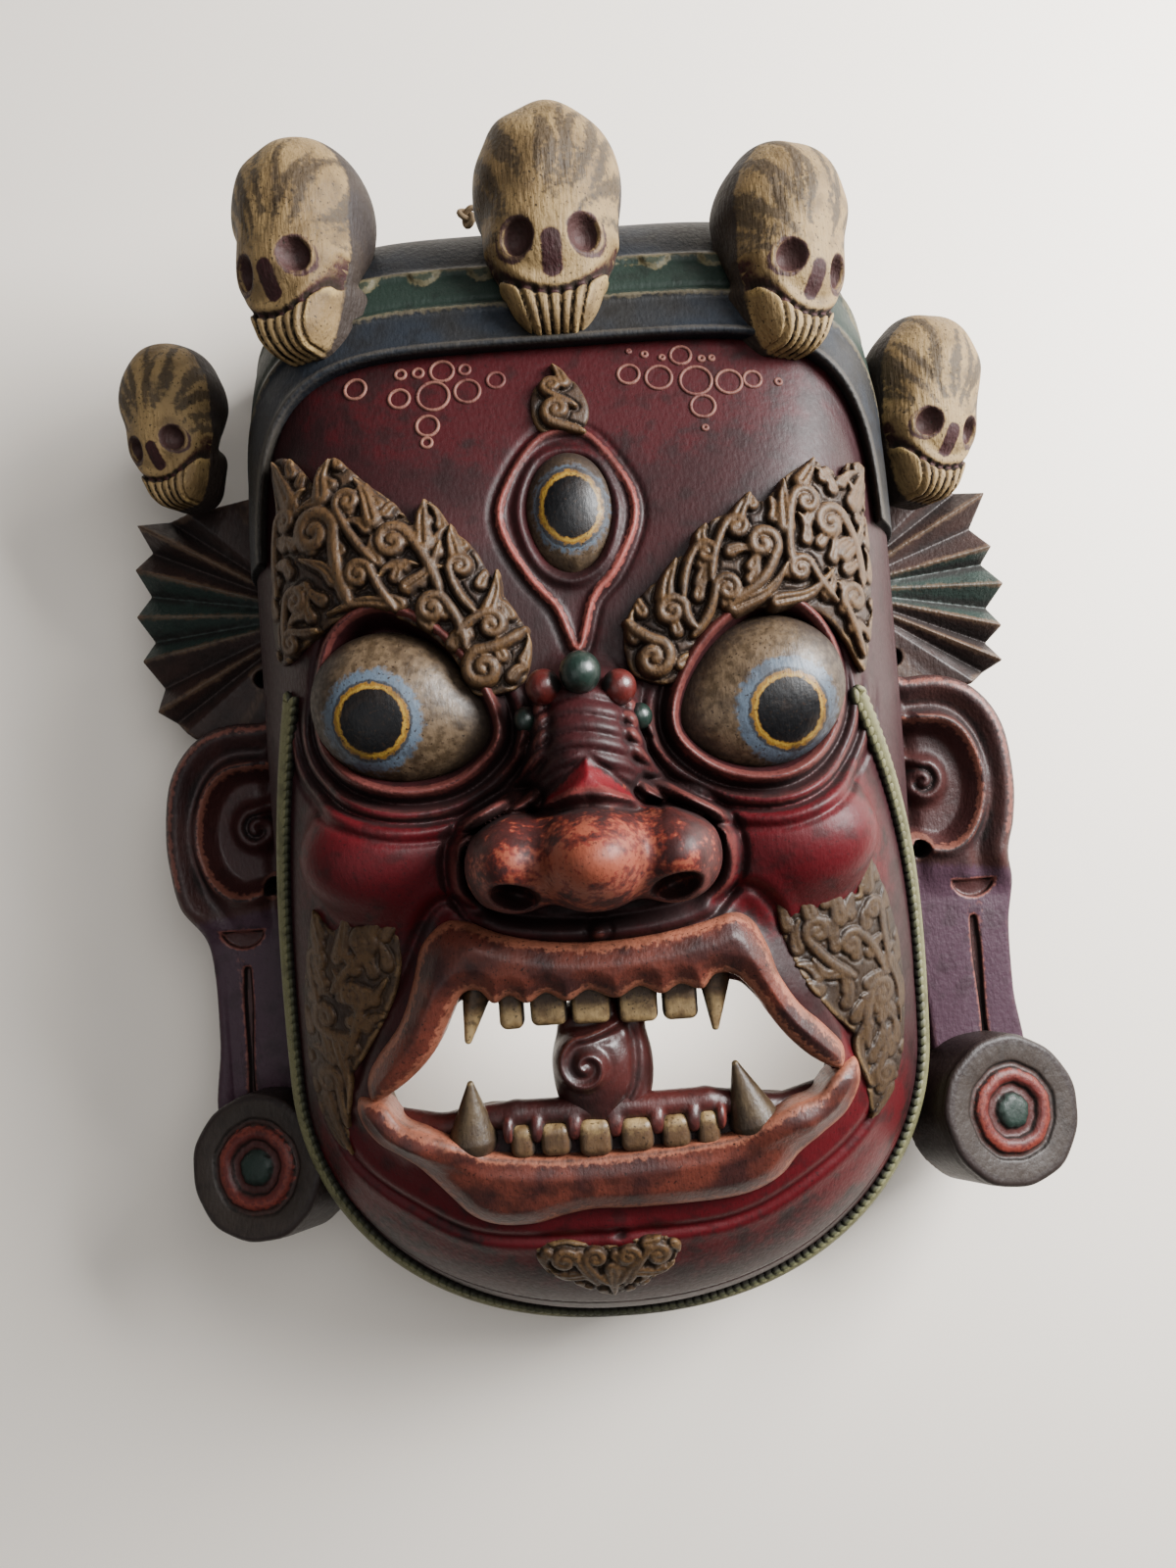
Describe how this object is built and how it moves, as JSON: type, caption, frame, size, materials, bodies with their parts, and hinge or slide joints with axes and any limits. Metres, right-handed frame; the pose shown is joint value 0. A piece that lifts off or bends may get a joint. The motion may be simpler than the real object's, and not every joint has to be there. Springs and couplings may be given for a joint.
{
  "type": "carved wooden dance mask",
  "caption": "Hollow carved mask of a wrathful protector with a skull crown, open fanged mouth and disc earrings, lying on its back rim.",
  "frame": {"origin": "under the middle of the mask, on the surface that its back rim rests on", "axes": "+Z out of the face, +Y towards the crown, +X to the right as one looks at the face"},
  "size_m": [0.3022, 0.3822, 0.158],
  "materials": {
    "painted_wood": "old distemper and varnish on carved wood, crimson with blue-black, gold, bone and salmon, worn at the ridges and grimy in the hollows",
    "twine": "twisted fibre twine, grey-brown with age"
  },
  "bodies": {
    "root": {"mask": "painted_wood", "cord_knot": "twine"}
  },
  "joints": []
}
